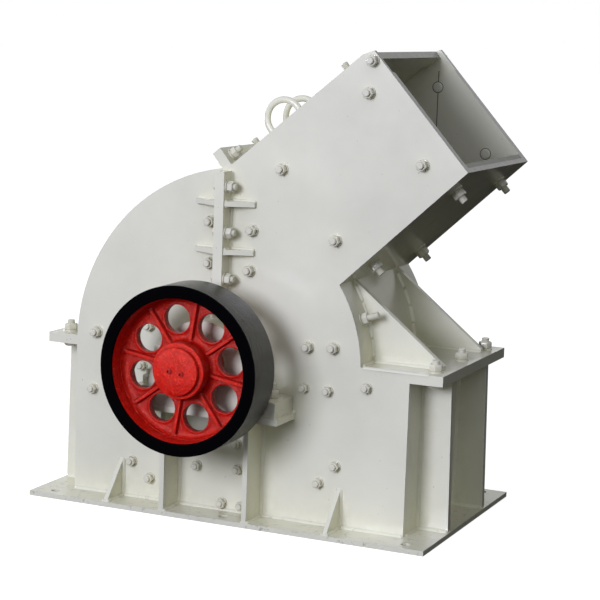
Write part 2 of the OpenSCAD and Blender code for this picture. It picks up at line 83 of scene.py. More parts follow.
# Chute and cover in the XZ plane: slopes from the X axis, the breast wall's radius about
# the shaft, the drop of the roof under the side plates' edge and the middle of the cover's arc
FLOOR_SLOPE = math.radians(43)
ROOF_SLOPE = math.radians(40)
MOUTH_SLOPE = math.radians(42)
MOUTH_FOOT_Z = 858.0
BREAST_R = 356.0
ROOF_DROP = 6.0
COVER_X = 16.0
ROOF_RISE = math.sqrt((COVER_X + HALF_H) ** 2 - (COVER_X - SPLIT_X) ** 2)
LINER_T = 12.0
LINER_TOP = high("chute_side_liners")[2] - 4

# Middle planes of the pairs of end ribs, flange gussets and lifting rings, and half the
# thickness of the ribs and gussets
END_RIB_Y, GUSSET_Y, RING_Y = 125, 135, 53
STIFFENER_HALF = 8


def along(slope):
    """Unit vectors along a slope in the XZ plane and square to it, upwards."""
    c, s = math.cos(slope), math.sin(slope)
    return np.array([c, 0.0, s]), np.array([-s, 0.0, c])


FLOOR_DIR, FLOOR_UP = along(FLOOR_SLOPE)
ROOF_DIR, ROOF_UP = along(ROOF_SLOPE)
X, Y, Z = np.eye(3)
MOUTH_LOW = np.array([high("chute_side_front")[0], 0.0, MOUTH_FOOT_Z])
MOUTH_OUT, _ = along(MOUTH_SLOPE)
ROOF_FOOT = np.array([SPLIT_X, 0.0, SPLIT_Z + ROOF_RISE])

# The knee is where the chute floor, run back from the mouth, meets the breast wall's arc
from_shaft = MOUTH_LOW - SHAFT
reach_back = float(from_shaft @ FLOOR_DIR)
FLOOR_L = reach_back - math.sqrt(reach_back**2 - float(from_shaft @ from_shaft) + BREAST_R**2)
KNEE = MOUTH_LOW - FLOOR_L * FLOOR_DIR


# Meshes


def new_piece(name, parts, body, material, smooth=40):
    """One object from parts, each a pair of vertices in mm and a list of face arrays."""
    verts, faces, start = [], [], 0
    for points, groups in parts:
        verts.append(points)
        faces += [np.asarray(g) + start for g in groups]
        start += len(points)
    verts = np.concatenate(verts) * MM
    mesh = bpy.data.meshes.new(name)
    mesh.vertices.add(len(verts))
    mesh.vertices.foreach_set("co", verts.ravel())
    sizes = np.concatenate([np.full(len(g), g.shape[1]) for g in faces])
    corners = np.concatenate([g.ravel() for g in faces])
    mesh.loops.add(len(corners))
    mesh.loops.foreach_set("vertex_index", corners.astype(np.int32))
    mesh.polygons.add(len(sizes))
    starts = np.concatenate([[0], np.cumsum(sizes)[:-1]]).astype(np.int32)
    mesh.polygons.foreach_set("loop_start", starts)
    mesh.polygons.foreach_set("loop_total", sizes.astype(np.int32))
    mesh.update(calc_edges=True)
    mesh.validate()
    mesh.shade_smooth()
    mesh.set_sharp_from_angle(angle=math.radians(smooth))
    mesh.materials.append(material)
    piece = bpy.data.objects.new(name, mesh)
    bpy.context.scene.collection.objects.link(piece)
    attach(piece, body)
    return piece


def grid_quads(rows, cols, closed):
    """Quads of a grid of points, row by row; closed joins the last column to the first."""
    last = cols if closed else cols - 1
    r, c = np.meshgrid(np.arange(rows - 1), np.arange(last), indexing="ij")
    n = (c + 1) % cols
    quads = np.stack([r * cols + c, r * cols + n, (r + 1) * cols + n, (r + 1) * cols + c], -1)
    return quads.reshape(-1, 4)


def frame_of(axis):
    """Two unit vectors that make a right-handed frame with an axis."""
    axis = np.asarray(axis, float) / np.linalg.norm(axis)
    side = np.cross(axis, Y if abs(axis[1]) < 0.9 else X)
    side /= np.linalg.norm(side)
    return side, np.cross(axis, side), axis


def turned(rows, count=24, spin=0.0, hexagon=()):
    """Surface of revolution of rows (radius, height), closed by a fan at both ends.

    A point is (r cos t, r sin t, h). hexagon is (first row, last row, f): on those rows r
    is the smaller of the row's radius and f / cos(t - nearest flat), where f is half the
    width over the flats.
    """
    t = np.arange(count) * 2 * math.pi / count
    to_flat = (t + math.pi / 6) % (math.pi / 3) - math.pi / 6
    out = []
    for k, (radius, height) in enumerate(rows):
        r = np.full(count, float(radius))
        if hexagon and hexagon[0] <= k <= hexagon[1]:
            r = np.minimum(r, hexagon[2] / np.cos(to_flat))
        circle = [r * np.cos(t + spin), r * np.sin(t + spin), np.full(count, height)]
        out.append(np.stack(circle, -1))
    points = np.concatenate(out)
    caps = []
    for row, flip in ((0, True), (len(rows) - 1, False)):
        ring = row * count + np.arange(count)
        points = np.vstack([points, [0, 0, rows[row][1]]])
        fan = np.stack([ring, np.roll(ring, -1), np.full(count, len(points) - 1)], -1)
        caps.append(fan[:, ::-1] if flip else fan)
    return points, [grid_quads(len(rows), count, True), *caps]


def placed(part, origin, axis):
    """A part moved so that its Z axis runs along axis from origin."""
    points, faces = part
    side, up, axis = frame_of(axis)
    return np.asarray(origin) + points @ np.stack([side, up, axis]), faces


def mirrored(part):
    """A part mirrored in the middle plane, with its faces turned round again."""
    points, faces = part
    return points * [1, -1, 1], [np.asarray(f)[:, ::-1] for f in faces]


def both_sides(parts):
    """Parts of the front side and their mirror images at the back."""
    return parts + [mirrored(p) for p in parts]


def thread_rows(radius, start, end):
    """Rows of a screw thread drawn as closed ridges between two heights."""
    pitch = 2.4
    rows = []
    for k in range(max(1, int((end - start - 2) / pitch))):
        h = start + k * pitch
        rows += [(radius, h + 0.2 * pitch), (radius - 0.9, h + 0.7 * pitch)]
    return rows + [(radius, end - 1.6), (radius - 1.6, end)]


WASHER_T = 3.0


def washer_rows(half):
    """Rows of a washer, sunk 0.5 mm, for a hexagon with half its width over flats given."""
    radius = 1.25 * half + 0.4
    return [(radius, -0.5), (radius, WASHER_T - 0.5), (radius - 0.5, WASHER_T)]


def hexagon_size(flats, face_share):
    """Half width over flats, corner radius, face radius and height of the 30 degree chamfer."""
    half = flats / 2
    corner = half / math.cos(math.pi / 6)
    face = face_share * half
    return half, corner, face, (corner - face) * math.tan(math.radians(30))


def bolt_end(stud=9.0, flats=24.0, nut=14.0):
    """Washer, chamfered hexagon nut and the end of a threaded bolt, from z = 0 up."""
    half, corner, face, rise = hexagon_size(flats, 0.95)
    bolt_r = flats / 3
    foot, top = WASHER_T, WASHER_T + nut
    rows = washer_rows(half)
    first = len(rows)
    rows += [(face, foot), (corner, foot + rise), (corner, top - rise), (face, top)]
    rows += [(bolt_r + 0.8, top), (bolt_r, top - 0.8)]
    rows += thread_rows(bolt_r, top, top + stud)
    return turned(rows, 24, rng.uniform(0, math.tau), (first, first + 3, half))


def bolt_head(flats=24.0, head=10.0, washer=True):
    """Chamfered hexagon head of a bolt on its washer, from z = 0 up."""
    half, corner, face, rise = hexagon_size(flats, 0.93)
    foot = WASHER_T if washer else 0.0
    top = foot + head
    rows = washer_rows(half) if washer else []
    first = len(rows)
    rows += [(face, foot), (corner, foot + 0.3), (corner, top - rise), (face, top)]
    rows += [(0.8 * face, top - 0.3), (0.3 * face, top - 0.3)]
    return turned(rows, 24, rng.uniform(0, math.tau), (first, first + 3, half))


def weld(start, end, n1, n2, leg=6.0, pitch=4.5):
    """Fillet weld bead along a corner: a rippled, slightly wandering convex strip.

    The section runs from leg * n1 to leg * n2 and bulges by a sine. Crescent ripples a
    pitch apart swell it, slow waves of 23 and 61 mm (per radian) make it wander, and it
    tapers over the last 0.6 of a leg at both ends.
    """
    row_step, section_points, sunk = 2.2, 6, 0.4
    start, end, n1, n2 = (np.asarray(v, float) for v in (start, end, n1, n2))
    run = end - start
    length = np.linalg.norm(run)
    rows = max(4, int(length / row_step))
    s = np.linspace(0, length, rows)[:, None]
    t = np.linspace(0, 1, section_points)[None, :]
    phase = rng.uniform(0, math.tau, 3)
    wander = 1 + 0.10 * np.sin(s / 23 + phase[0]) + 0.07 * np.sin(s / 61 + phase[1])
    crescent = ((s + 5 * (t - 0.5) ** 2 * 4) / pitch + phase[2]) % 1
    ripple = 0.16 * (1 - crescent) ** 2
    ends = np.clip(np.minimum(s, length - s) / (0.6 * leg), 0.05, 1) ** 0.5
    size = leg * wander * ends
    bulge = size * (0.12 + ripple) * np.sin(math.pi * t)
    middle = (n1 + n2) / np.linalg.norm(n1 + n2)
    line = start + s[..., None] / length * run
    arc = (size * (1 - t))[..., None] * n1 + (size * t)[..., None] * n2 + bulge[..., None] * middle
    section = np.concatenate([line + arc, line - sunk * middle], 1)
    cols = section.shape[1]
    points = section.reshape(-1, 3)
    quads = grid_quads(rows, cols, True)
    first = np.arange(cols)
    tail = (rows - 1) * cols + first
    head_cap, tail_cap = (np.stack([ring[1:-1], ring[2:], np.full(cols - 2, ring[0])], -1)
                          for ring in (first, tail))
    faces = [quads, head_cap[:, ::-1], tail_cap]
    if np.dot(np.cross(n1, n2), run) > 0:
        return points, faces
    return points, [f[:, ::-1] for f in faces]


# Materials


def linear(code):
    """An sRGB hex colour as linear RGBA."""
    v = np.array([int(code[k:k + 2], 16) for k in (1, 3, 5)]) / 255
    v = np.where(v <= 0.04045, v / 12.92, ((v + 0.055) / 1.055) ** 2.4)
    return (*v.tolist(), 1.0)


def add_node(tree, kind, links=(), **settings):
    """One shader node: settings are its properties or input values, links its input sockets."""
    made = tree.nodes.new(kind)
    for key, value in settings.items():
        if hasattr(made, key):
            setattr(made, key, value)
        else:
            made.inputs[key.replace("_", " ")].default_value = value
    for socket, source in dict(links).items():
        tree.links.new(source, made.inputs[socket])
    return made


def start_material(name):
    """An empty material, its node tree and its coordinates in metres in the shared frame."""
    mat = bpy.data.materials.new(name)
    mat.use_nodes = True
    tree = mat.node_tree
    tree.nodes.clear()
    coords = add_node(tree, "ShaderNodeTexCoord").outputs["Object"]
    return mat, tree, coords


def noise(tree, coords, size_mm, detail=3.0, rough=0.55, distortion=0.0):
    """Noise whose features are about size_mm across."""
    made = add_node(tree, "ShaderNodeTexNoise", {"Vector": coords}, Scale=1 / (size_mm * MM),
                    Detail=detail, Roughness=rough, Distortion=distortion)
    return made.outputs["Fac"]


def ramp(tree, fac, stops):
    """A value turned into a colour or a mask by stops of (place, linear RGBA)."""
    made = add_node(tree, "ShaderNodeValToRGB", {"Fac": fac})
    band = made.color_ramp
    while len(band.elements) < len(stops):
        band.elements.new(0.5)
    for element, (place, colour) in zip(band.elements, stops):
        element.position = place
        element.color = colour
    return made.outputs["Color"]


def mask(tree, fac, start, end):
    """0 below start, 1 above end."""
    return ramp(tree, fac, [(start, (0, 0, 0, 1)), (end, (1, 1, 1, 1))])


def mix(tree, fac, a, b):
    """From a to b by fac; a and b are sockets or colours."""
    made = add_node(tree, "ShaderNodeMix", {0: fac}, data_type="RGBA")
    for socket, value in ((made.inputs[6], a), (made.inputs[7], b)):
        if isinstance(value, tuple):
            socket.default_value = value
        else:
            tree.links.new(value, socket)
    return made.outputs[2]


def math_node(tree, operation, a, b=0.0):
    """A maths node on one or two values, each a socket or a number."""
    made = add_node(tree, "ShaderNodeMath", operation=operation)
    for socket, value in zip(made.inputs, (a, b)):
        if isinstance(value, (int, float)):
            socket.default_value = value
        else:
            tree.links.new(value, socket)
    return made.outputs[0]


def dot_product(tree, vector, fixed):
    """Dot product of a vector socket with a fixed vector."""
    made = add_node(tree, "ShaderNodeVectorMath", {0: vector}, operation="DOT_PRODUCT")
    made.inputs[1].default_value = fixed
    return made.outputs["Value"]


def corner_shade(tree, distance):
    """1 in a closed corner, 0 in the open, measured over a distance in metres."""
    corner = add_node(tree, "ShaderNodeAmbientOcclusion", samples=6, Distance=distance)
    return math_node(tree, "SUBTRACT", 1.0, corner.outputs["AO"])


def bump(tree, layers):
    """Bump layers (height socket, depth in mm, strength) laid over each other."""
    normal = None
    for height, depth, strength in layers:
        made = add_node(tree, "ShaderNodeBump", {"Height": height}, Strength=strength,
                        Distance=depth * MM)
        if normal is not None:
            tree.links.new(normal, made.inputs["Normal"])
        normal = made.outputs["Normal"]
    return normal


def finish_material(tree, colour, roughness, normal, tint=None, **settings):
    """Principled shader and output; constant settings sit on the shader's own sockets."""
    links = {"Base Color": colour, "Roughness": roughness, "Normal": normal}
    if tint is not None:
        links["Specular Tint"] = tint
    shader = add_node(tree, "ShaderNodeBsdfPrincipled", links, **settings)
    add_node(tree, "ShaderNodeOutputMaterial", {"Surface": shader.outputs["BSDF"]})


# Colours of specks, floor splashes and chips, and of the painted shade on the plates' edges at the
# feed mouth
SPECK, FLOOR_DIRT, CHIP, MOUTH_EDGE_SHADE = map(linear, ("#8d8674", "#6d695c", "#5f5a50", "#4d4c47"))


def enamel_over_plate(name, code, corner_shade_code, corner_shade_amount, chips_and_edge_shade=True):
    """Sprayed alkyd enamel over hot-rolled plate: semi-gloss, orange peel, soft plate waves.

    Its corners are darkened with a mottle as painted shade, and it has specks and splashes
    within 22 mm of the floor. Optionally its edges are chipped, and the plates' edges round
    the feed mouth, which face out of it, are darkened as painted shade.
    """
    mat, tree, at = start_material(name)
    clouds = noise(tree, at, 260, 4)
    fine = noise(tree, at, 26, 5, 0.6)
    paint = linear(code)
    pale = tuple(min(1.0, c * 1.05) for c in paint[:3]) + (1.0,)
    deep = tuple(c * 0.93 for c in paint[:3]) + (1.0,)
    colour = mix(tree, mask(tree, clouds, 0.35, 0.68), deep, pale)
    # Painted shade: corners darkened through an occlusion mask, with a mottle
    painted_corner_shade = math_node(tree, "MULTIPLY", corner_shade(tree, 0.06), mask(tree, fine, 0.25, 0.8))
    colour = mix(tree, math_node(tree, "MULTIPLY", painted_corner_shade, corner_shade_amount), colour, linear(corner_shade_code))
    specks = mask(tree, noise(tree, at, 9, 2, 0.5), 0.735, 0.76)
    colour = mix(tree, math_node(tree, "MULTIPLY", specks, 0.35), colour, SPECK)
    level = add_node(tree, "ShaderNodeSeparateXYZ", {"Vector": at}).outputs["Z"]
    near_floor = ramp(tree, level, [(4 * MM, (1, 1, 1, 1)), (22 * MM, (0, 0, 0, 1))])
    splashes = mask(tree, noise(tree, at, 17, 5, 0.7), 0.56, 0.64)
    foot = math_node(tree, "MULTIPLY", near_floor, splashes)
    colour = mix(tree, math_node(tree, "MULTIPLY", foot, 0.5), colour, FLOOR_DIRT)
    if chips_and_edge_shade:
        soft = add_node(tree, "ShaderNodeBevel", samples=4, Radius=1.6 * MM).outputs["Normal"]
        plain = add_node(tree, "ShaderNodeNewGeometry").outputs["Normal"]
        same = add_node(tree, "ShaderNodeVectorMath", {0: soft, 1: plain}, operation="DOT_PRODUCT")
        edge = math_node(tree, "SUBTRACT", 1.0, same.outputs["Value"])
        chips = math_node(tree, "MULTIPLY", mask(tree, edge, 0.02, 0.12),
                          mask(tree, noise(tree, at, 14, 4, 0.65), 0.60, 0.66))
        colour = mix(tree, chips, colour, CHIP)
        # Painted shade: the plates' edges near the feed mouth that face out of it are darkened
        painted_mouth_edge_shade = math_node(tree, "ADD", math_node(tree, "MULTIPLY", fine, 0.3), 0.75)
        near_mouth = float(MOUTH_LOW @ MOUTH_OUT - 60) * MM
        facing_out = 0.96
        for vector, least in ((at, near_mouth), (plain, facing_out)):
            along_mouth = dot_product(tree, vector, MOUTH_OUT.tolist())
            chosen = math_node(tree, "GREATER_THAN", along_mouth, least)
            painted_mouth_edge_shade = math_node(tree, "MULTIPLY", painted_mouth_edge_shade, chosen)
        colour = mix(tree, painted_mouth_edge_shade, colour, MOUTH_EDGE_SHADE)
    rough = math_node(tree, "ADD", math_node(tree, "MULTIPLY", fine, 0.14), 0.13)
    normal = bump(tree, [
        (noise(tree, at, 150, 2), 1.0, 0.35),
        (noise(tree, at, 4.5, 2), 0.12, 0.30),
        (noise(tree, at, 30, 3), 0.4, 0.18),
    ])
    finish_material(tree, colour, rough, normal, Specular_IOR_Level=0.5)
    return mat


def enamel_on_casting():
    """Brushed red enamel over a sand casting, with a black rim and a matt black rim face.

    The border between the colours follows the brush: it wanders by about 1 mm. Bright flecks
    on the grit are painted glints, and the corners and recesses get painted shade.
    """
    mat, tree, at = start_material("red_and_black_enamel_on_sand_casting")
    split = add_node(tree, "ShaderNodeSeparateXYZ", {"Vector": at})
    dx = math_node(tree, "SUBTRACT", split.outputs["X"], float(SHAFT[0]) * MM)
    dz = math_node(tree, "SUBTRACT", split.outputs["Z"], float(SHAFT[2]) * MM)
    squares = [math_node(tree, "MULTIPLY", d, d) for d in (dx, dz)]
    radius = math_node(tree, "SQRT", math_node(tree, "ADD", *squares))
    out = math_node(tree, "ABSOLUTE", split.outputs["Y"])
    brush = math_node(tree, "SUBTRACT", noise(tree, at, 35, 3), 0.5)
    brush = math_node(tree, "MULTIPLY", brush, 3 * MM)
    rough_radius = math_node(tree, "ADD", radius, brush)
    outside = math_node(tree, "GREATER_THAN", rough_radius, (RIM_IN + 1) * MM)
    rough_out = math_node(tree, "ADD", out, brush)
    on_face = math_node(tree, "GREATER_THAN", rough_out, (WHEEL_Y - 5) * MM)
    on_lip = math_node(tree, "GREATER_THAN", rough_radius, (RIM_IN - 8) * MM)
    rim = math_node(tree, "MAXIMUM", outside, math_node(tree, "MULTIPLY", on_face, on_lip))
    grit = noise(tree, at, 4.5, 5, 0.72)
    lumps = noise(tree, at, 14, 4, 0.6)
    red = mix(tree, mask(tree, lumps, 0.3, 0.7), linear("#c80a04"), linear("#f01a08"))
    red = mix(tree, mask(tree, grit, 0.30, 0.44), linear("#8a0604"), red)
    # Painted highlights: bright flecks on the grit stand for glints of light
    painted_glints = math_node(tree, "MULTIPLY", mask(tree, grit, 0.58, 0.68), 0.7)
    red = mix(tree, painted_glints, red, linear("#ff6a48"))
    black = mix(tree, mask(tree, grit, 0.40, 0.65), linear("#040405"), linear("#1c1c1d"))
    dead = math_node(tree, "MULTIPLY", on_face, rim)
    colour = mix(tree, dead, mix(tree, rim, red, black), linear("#030304"))
    # Painted shade: the wheel's corners and recesses are darkened to maroon through an occlusion
    # mask
    colour = mix(tree, mask(tree, corner_shade(tree, 0.11), 0.16, 0.95), colour, linear("#220105"))
    rough = math_node(tree, "ADD", math_node(tree, "MULTIPLY", grit, 0.22), 0.12)
    rough = math_node(tree, "ADD", rough, math_node(tree, "MULTIPLY", dead, 0.6))
    sand = math_node(tree, "MULTIPLY", grit, math_node(tree, "SUBTRACT", 1.0, rim))
    strokes = math_node(tree, "MULTIPLY", noise(tree, at, 8, 5, 0.7, 1.5), outside)
    normal = bump(tree, [
        (lumps, 1.6, 0.5),
        (sand, 2.2, 1.0),
        (strokes, 2.0, 0.6),
        (noise(tree, at, 2.6, 2), 0.32, 0.6),
    ])
    tint = mix(tree, dead, (1.0, 0.93, 0.72, 1), (0.02, 0.02, 0.02, 1))
    finish_material(tree, colour, rough, normal, tint, Specular_IOR_Level=0.38)
    return mat


def steel(name, code, rust_code, rust=0.4, metallic=1.0, rough=0.38):
    """Machined or forged steel with oil film and spots of rust."""
    mat, tree, at = start_material(name)
    patches = mask(tree, noise(tree, at, 30, 5, 0.65), 0.48, 0.68)
    fine = noise(tree, at, 3, 4, 0.6)
    colour = mix(tree, math_node(tree, "MULTIPLY", patches, rust), linear(code), linear(rust_code))
    roughness = math_node(tree, "ADD", math_node(tree, "MULTIPLY", fine, 0.25), rough)
    normal = bump(tree, [(fine, 0.25, 0.5)])
    finish_material(tree, colour, roughness, normal, Metallic=metallic)
    return mat


# Wheels: radii and heights along the shaft, out from the middle plane

HUB_R = 65.0
HUB_FRONT = WHEEL_Y - 8
BORE_R = 40.0
RIM_IN = WHEEL_R - 29
DRAFT = 4.0
WEB_FRONT = WHEEL_Y - 53
WEB_BACK = WEB_FRONT - 16
HOLE_R = 32.5
HOLE_RADIUS = 115.0
HOLE_ANGLE = math.radians(13.5)
HOLES = 8
LIP = 2.5  # radius of the rounded edge of a web hole
CAP_R = 55.0
CAP_OUT = WHEEL_Y + 4


def rounded(points, radius, steps=4):
    """A closed outline with each corner turned into a quadratic curve cut back by radius."""
    points = np.asarray(points, float)
    out = []
    for before, corner, after in zip(np.roll(points, 1, 0), points, np.roll(points, -1, 0)):
        ends = []
        for other in (before, after):
            reach = np.linalg.norm(other - corner)
            ends.append(corner + (other - corner) * min(radius, 0.45 * reach) / reach)
        t = np.linspace(0, 1, steps + 1)[:, None]
        out.append((1 - t) ** 2 * ends[0] + 2 * t * (1 - t) * corner + t**2 * ends[1])
    return np.concatenate(out)


def ring_solid(outline, count=96):
    """A closed (radius, height) outline, counter-clockwise, turned about the Z axis."""
    t = np.arange(count) * math.tau / count
    outline = np.vstack([outline, outline[:1]])
    radius, height = outline[:, :1], outline[:, 1:]
    points = np.stack([radius * np.cos(t), radius * np.sin(t), height + 0 * t], -1)
    return points.reshape(-1, 3), [grid_quads(len(outline), count, True)]


def fillet(distance, radius):
    """Height of a quarter-circle fillet at a distance from the wall it climbs."""
    d = np.clip(distance, 0, radius)
    return radius - np.sqrt(radius**2 - (radius - d) ** 2)


def web_height(radius, angle, front):
    """Face of the web: a flat with fillets, a lip round each hole and, in front, low ribs."""
    height = fillet(radius - HUB_R, 13) + fillet(RIM_IN - DRAFT - radius, 15)
    step = math.tau / HOLES
    off = (angle - HOLE_ANGLE + step / 2) % step - step / 2
    from_hole = np.hypot(radius * np.cos(off) - HOLE_RADIUS, radius * np.sin(off)) - HOLE_R
    height = height + 3.0 * np.exp(-(from_hole / 5.5) ** 2)
    if front:
        across = radius * np.sin(step / 2 - np.abs(off))
        ridge = np.clip((6.8 - across) / 3.6, 0, 1)
        height = np.maximum(height, 10.0 * ridge**2 * (3 - 2 * ridge))
    return height


def web_patches(front):
    """Web face as patches that run from each hole's edge out to its sector's border.

    A ray from the hole's centre at angle b meets the border at the nearest of the hub
    circle, the rim circle and the two radial lines; t = 0 to 1 runs along that ray.
    """
    count, rows, far = 96, 22, 1e9
    hole_wall = 9.0  # from the flat to just past the middle of the web
    b = np.arange(count) * math.tau / count
    dx, dy = np.cos(b), np.sin(b)
    half = math.pi / HOLES
    reach = []
    for circle_r, sign in ((HUB_R - 1, -1), (RIM_IN - DRAFT + 2, 1)):
        disc = (HOLE_RADIUS * dx) ** 2 - HOLE_RADIUS**2 + circle_r**2
        root = -HOLE_RADIUS * dx + sign * np.sqrt(np.maximum(disc, 0))
        reach.append(np.where((disc > 0) & (root > 0), root, far))
    for side in (-1, 1):
        turn = dx * math.sin(half) - side * dy * math.cos(half)
        line = -HOLE_RADIUS * math.sin(half) / np.where(np.abs(turn) < 1e-9, 1e-9, turn)
        reach.append(np.where(line > 0, line, far))
    border = np.min(reach, axis=0)
    t = np.linspace(0, 1, rows)[:, None] ** 0.9
    ray = HOLE_R + LIP + (border - HOLE_R - LIP) * t
    lips = [(HOLE_R + LIP * (1 - math.sin(a)), -LIP * (1 - math.cos(a)))
            for a in (0.52, 1.05, 1.57)]
    parts = []
    for k in range(HOLES):
        turn = HOLE_ANGLE + k * math.tau / HOLES
        x, y = HOLE_RADIUS + ray * dx, ray * dy
        height = web_height(np.hypot(x, y), np.arctan2(y, x) + turn, front)
        x, y, height = [list(v) for v in (x, y, height)]
        first = height[0]
        for radius, drop in lips:
            x.insert(0, HOLE_RADIUS + radius * dx)
            y.insert(0, radius * dy)
            height.insert(0, first + drop)
        x.insert(0, HOLE_RADIUS + HOLE_R * dx)
        y.insert(0, HOLE_R * dy)
        height.insert(0, np.full(count, -hole_wall))
        x, y, height = np.array(x), np.array(y), np.array(height)
        c, s = math.cos(turn), math.sin(turn)
        out = WEB_FRONT + height if front else WEB_BACK - height
        points = np.stack([c * x - s * y, s * x + c * y, out], -1).reshape(-1, 3)
        quads = grid_quads(len(x), count, True)
        parts.append((points, [quads if front else quads[:, ::-1]]))
    return parts


def cast_wheel(rim_face):
    """Hub, web and rim of a wheel; its axis is Z and heights are distances out along it."""
    rim = rounded([
        [RIM_IN, WHEEL_BACK], *rim_face, [RIM_IN, WHEEL_Y],
        [RIM_IN - DRAFT, WEB_FRONT], [RIM_IN - DRAFT, WEB_BACK],
    ], 2.6)
    hub = rounded([
        [BORE_R, WHEEL_BACK + 0.5], [HUB_R + DRAFT, WHEEL_BACK + 0.5], [HUB_R, WEB_BACK],
        [HUB_R, HUB_FRONT], [BORE_R, HUB_FRONT],
    ], 3.0)
    return [ring_solid(rim, 144), ring_solid(hub, 96)] + web_patches(True) + web_patches(False)


def end_cap():
    """Turned cap over the shaft's end, with its edge broken."""
    r, top = CAP_R, CAP_OUT
    rows = [(r - 1, HUB_FRONT), (r, HUB_FRONT + 1), (r, top - 2), (r - 0.6, top - 0.7),
            (r - 2, top), (20, top)]
    return turned(rows, 96)


def socket_screw(at):
    """Cheese-head screw with a hollow in its head."""
    r, head = 6.0, 4.4
    rows = [(r, -1), (r, head - 0.8), (r - 1, head), (0.66 * r, head), (0.6 * r, 0.2)]
    points, faces = turned(rows, 20)
    return points + at, faces


def wheel_side(parts, out):
    """Parts on a wheel's axis placed on the shaft, facing out along -Y or +Y."""
    return [placed(p, SHAFT, [0, out, 0]) for p in parts]


# Fasteners: (X, Z) places on the side plates, measured on the photograph

COVER_PLATE_BOLTS = [(-78, 703), (-77, 605), (-234, 440), (-379, 410)]
CHUTE_PLATE_BOLTS = [
    (102, 837), (31, 690), (26.5, 595), (310, 1022), (316, 1094), (445, 868),
    (242, 683), (182, 430), (246, 434),
]
LOWER_PLATE_BOLTS = [
    (176, 333), (236, 332), (332, 350), (261, 157), (220, 112), (-274, 101), (-224, 65),
    (-97, 113), (12, 117), (7, 178), (-28, 30), (24, 30), (-386, 269), (-251, 341),
]
FLANGE_BOLT_X = 480
FLANGE_BOLT_Y = 178


def plate_bolts():
    """Liner bolts through the side plates, with their nuts outside."""
    parts = []
    for x, z in COVER_PLATE_BOLTS + CHUTE_PLATE_BOLTS:
        parts.append(placed(bolt_end(7, flats=23), [x, -SIDE_Y, z], -Y))
    for x, z in LOWER_PLATE_BOLTS:
        parts.append(placed(bolt_end(5.5, flats=20.5, nut=12), [x, -SIDE_Y, z], -Y))
    return both_sides(parts)


def side_flange_bolts():
    """Three bolts through each upright split flange, nuts towards the chute."""
    parts = []
    y = -SIDE_Y - 25
    for z in (790, 683, 574):
        parts.append(placed(bolt_end(7), [SPLIT_X + FLANGE_T, y, z], X))
        parts.append(placed(bolt_head(head=7, washer=False), [SPLIT_X - FLANGE_T, y, z], -X))
    return both_sides(parts)


def top_flange_bolts():
    """Four bolts through the split flanges on the roof."""
    parts = []
    for y in (-185, -62, 62, 185):
        at = ROOF_FOOT + 27 * ROOF_UP + y * Y
        parts.append(placed(bolt_end(12), at + FLANGE_T * ROOF_DIR, ROOF_DIR))
        parts.append(placed(bolt_head(), at - FLANGE_T * ROOF_DIR, -ROOF_DIR))
    return parts


def level_flange_bolts():
    """Three bolts through the level split flanges at each end."""
    parts = []
    for x in (-FLANGE_BOLT_X, FLANGE_BOLT_X):
        for y in (-FLANGE_BOLT_Y, 0, FLANGE_BOLT_Y):
            parts.append(placed(bolt_end(9, flats=28, nut=16), [x, y, UPPER_FOOT], Z))
            parts.append(placed(bolt_head(28), [x, y, LOWER_TOP], -Z))
    return parts


def chute_bolts():
    """Liner bolts through the chute's floor and its roof, and one through the breast wall."""
    parts = []
    for y in (-155, 155):
        for run in (73, 337):
            at = KNEE + run * FLOOR_DIR + y * Y
            parts.append(placed(bolt_end(15, flats=27, nut=17), at, -FLOOR_UP))
        for run in (67, 356):
            at = ROOF_FOOT + run * ROOF_DIR - ROOF_DROP * ROOF_UP + y * Y
            parts.append(placed(bolt_end(18, flats=26), at, ROOF_UP))
    lean, _ = along(math.radians(19))
    parts.append(placed(bolt_end(27), SHAFT + BREAST_R * lean - FLANGE_BOLT_Y * Y, lean))
    return parts


def bearing_bolts():
    """Foot bolts at both ends of each bearing housing, four cap bolts and a grease nipple."""
    parts = []
    middle = (low("bearing_housing_front")[1] + 6 + high("bearing_housing_front")[1]) / 2
    for side in (-1, 1):
        at = [SHAFT[0] + side * 160, middle, SEAT_TOP + 38]
        parts.append(placed(bolt_end(16, flats=30, nut=19), at, Z))
        for y in (-24, 24):
            at = [SHAFT[0] + side * 111, middle + y, SHAFT[2] + 30]
            parts.append(placed(bolt_head(19, 11), at, Z))
    nipple = [(5, -1), (5, 5), (2.6, 6), (2.6, 12), (3.6, 14), (2, 17)]
    parts.append(placed(turned(nipple, 16), [SHAFT[0], middle, SHAFT[2] + 100], Z))
    return both_sides(parts)


LINER_HEADS = [(319, 1026), (449, 871), (242, 683), (102, 837)]
LINER_HEAD_R = 12.5
LINER_JOINT_X = 320.0
LINER_FACE = INNER_Y - LINER_T


def liner_bolt_heads():
    """Flush heads of the liner bolts inside the chute, as discs."""
    r = LINER_HEAD_R
    rows = [(r, -0.4), (r, 0.5), (r - 0.7, 0.9), (6, 0.9)]
    return both_sides([placed(turned(rows, 32), [x, LINER_FACE, z], -Y) for x, z in LINER_HEADS])


def brick(corner_a, corner_b):
    """A box between two corners."""
    near, far = np.minimum(corner_a, corner_b), np.maximum(corner_a, corner_b)
    pick = np.array([[k & 1, k >> 1 & 1, k >> 2 & 1] for k in range(8)])
    quads = np.array([[0, 2, 3, 1], [4, 5, 7, 6], [0, 1, 5, 4],
                      [2, 6, 7, 3], [0, 4, 6, 2], [1, 3, 7, 5]])
    return near + pick * (far - near), [quads]


